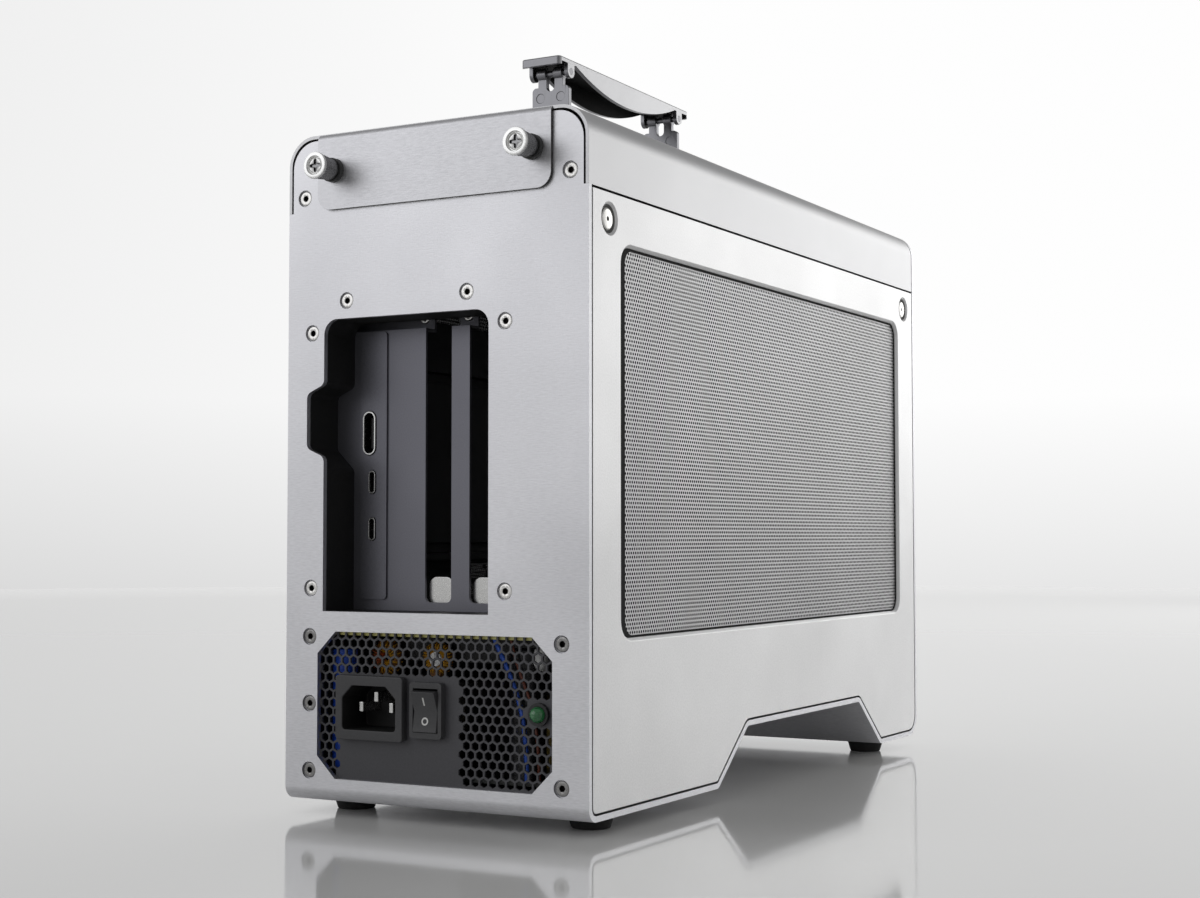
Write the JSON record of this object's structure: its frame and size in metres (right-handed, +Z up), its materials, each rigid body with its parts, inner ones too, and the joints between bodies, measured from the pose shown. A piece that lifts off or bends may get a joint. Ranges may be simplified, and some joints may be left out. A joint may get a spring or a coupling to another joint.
{
  "type": "external graphics card enclosure",
  "caption": "Folded aluminium desktop enclosure for a graphics card, with mesh sides, lift-out handle, slot window, interface sockets, built-in power supply, mains inlet and rocker switch.",
  "frame": {"origin": "on the floor plane under the middle of the overall box", "axes": "+Z up, -Y towards the rear socket face, +X towards the right side mesh seen from the rear"},
  "size_m": [0.1356, 0.36, 0.307],
  "materials": {
    "shell_aluminium": "bead-blasted, clear anodised",
    "mesh_sheet": "perforated, matt",
    "handle_aluminium": "satin anodised",
    "handle_steel": "satin plated",
    "screw_steel": "nickel plated",
    "thumbscrew_metal": "knurled, bright face",
    "collar_metal": "black zinc",
    "bracket_metal": "zinc plated",
    "black_plastic": "fine matt texture",
    "card_frame_metal": "dark satin",
    "board": "solder mask",
    "socket_metal": "bright plated",
    "sink_aluminium": "extruded",
    "psu_metal": "black powder coat",
    "inlet_plastic": "moulded",
    "lamp_lens": "translucent green",
    "coil_wire": "enamelled wire",
    "capacitor_sleeve": "shrink sleeve",
    "transformer_core": "ferrite with tape",
    "harness_sleeve": "braided sleeve",
    "foot_rubber": "matt"
  },
  "bodies": {
    "chassis": {"body_band": "shell_aluminium", "top_cover": "shell_aluminium", "side_panel_right": "shell_aluminium", "side_panel_left": "shell_aluminium", "side_mesh_right": "mesh_sheet", "side_mesh_left": "mesh_sheet", "psu_screws": "screw_steel", "slot_frame_screws": "screw_steel", "card_bar_screws": "screw_steel", "rear_corner_screws": "screw_steel", "side_panel_screws": "screw_steel", "bracket_screws": "screw_steel", "front_fan_screws": "screw_steel", "foot_screws": "screw_steel", "thumbscrew_nuts": "screw_steel", "backplane_standoffs": "screw_steel", "thumbscrew_collars": "collar_metal", "corner_brackets": "bracket_metal", "slot_frame": "black_plastic", "handle_well": "black_plastic", "card_connector": "black_plastic", "power_header": "black_plastic", "psu_fan_frame": "black_plastic", "front_fan_frame": "black_plastic", "lamp_bezel": "black_plastic", "card_frame": "card_frame_metal", "io_bracket": "card_frame_metal", "interface_board": "board", "backplane_board": "board", "psu_board": "board", "display_socket": "socket_metal", "usb_socket_upper": "socket_metal", "usb_socket_lower": "socket_metal", "inlet_blades": "socket_metal", "slot_guides": "socket_metal", "controller_heatsink": "sink_aluminium", "psu_heatsinks": "sink_aluminium", "psu_case": "psu_metal", "psu_lid": "psu_metal", "power_inlet": "inlet_plastic", "switch_housing": "inlet_plastic", "status_lamp": "lamp_lens", "psu_coils": "coil_wire", "psu_capacitors": "capacitor_sleeve", "psu_transformer": "transformer_core", "output_harness": "harness_sleeve", "foot_left_rear": "foot_rubber", "foot_left_front": "foot_rubber", "foot_right_rear": "foot_rubber", "foot_right_front": "foot_rubber"},
    "handle": {"handle_grip": "handle_aluminium", "handle_leg_rear": "handle_steel", "handle_leg_front": "handle_steel", "handle_pins": "handle_steel"},
    "left_thumbscrew": {"thumbscrew_left": "thumbscrew_metal"},
    "right_thumbscrew": {"thumbscrew_right": "thumbscrew_metal"},
    "rocker": {"switch_rocker": "inlet_plastic"},
    "psu_fan": {"psu_fan_rotor": "black_plastic"},
    "front_fan": {"front_fan_rotor": "black_plastic"}
  },
  "joints": [
    {"name": "handle_slide", "type": "slide", "parent": "chassis", "child": "handle", "axis": [0, 0, 1], "range_m": [-0.04, 0]},
    {"name": "left_thumbscrew_turn", "type": "hinge", "parent": "chassis", "child": "left_thumbscrew", "pos_m": [-0.045, -0.174, 0.2497], "axis": [0, 1, 0], "continuous": true},
    {"name": "right_thumbscrew_turn", "type": "hinge", "parent": "chassis", "child": "right_thumbscrew", "pos_m": [0.045, -0.174, 0.2497], "axis": [0, 1, 0], "continuous": true},
    {"name": "rocker_tilt", "type": "hinge", "parent": "chassis", "child": "rocker", "pos_m": [-0.0019, -0.1642, 0.0427], "axis": [1, 0, 0], "range_deg": [-14, 0]},
    {"name": "psu_fan_spin", "type": "hinge", "parent": "chassis", "child": "psu_fan", "pos_m": [0, -0.102, 0.066], "axis": [0, 0, 1], "continuous": true},
    {"name": "front_fan_spin", "type": "hinge", "parent": "chassis", "child": "front_fan", "pos_m": [0, 0.164, 0.152], "axis": [0, 1, 0], "continuous": true}
  ]
}
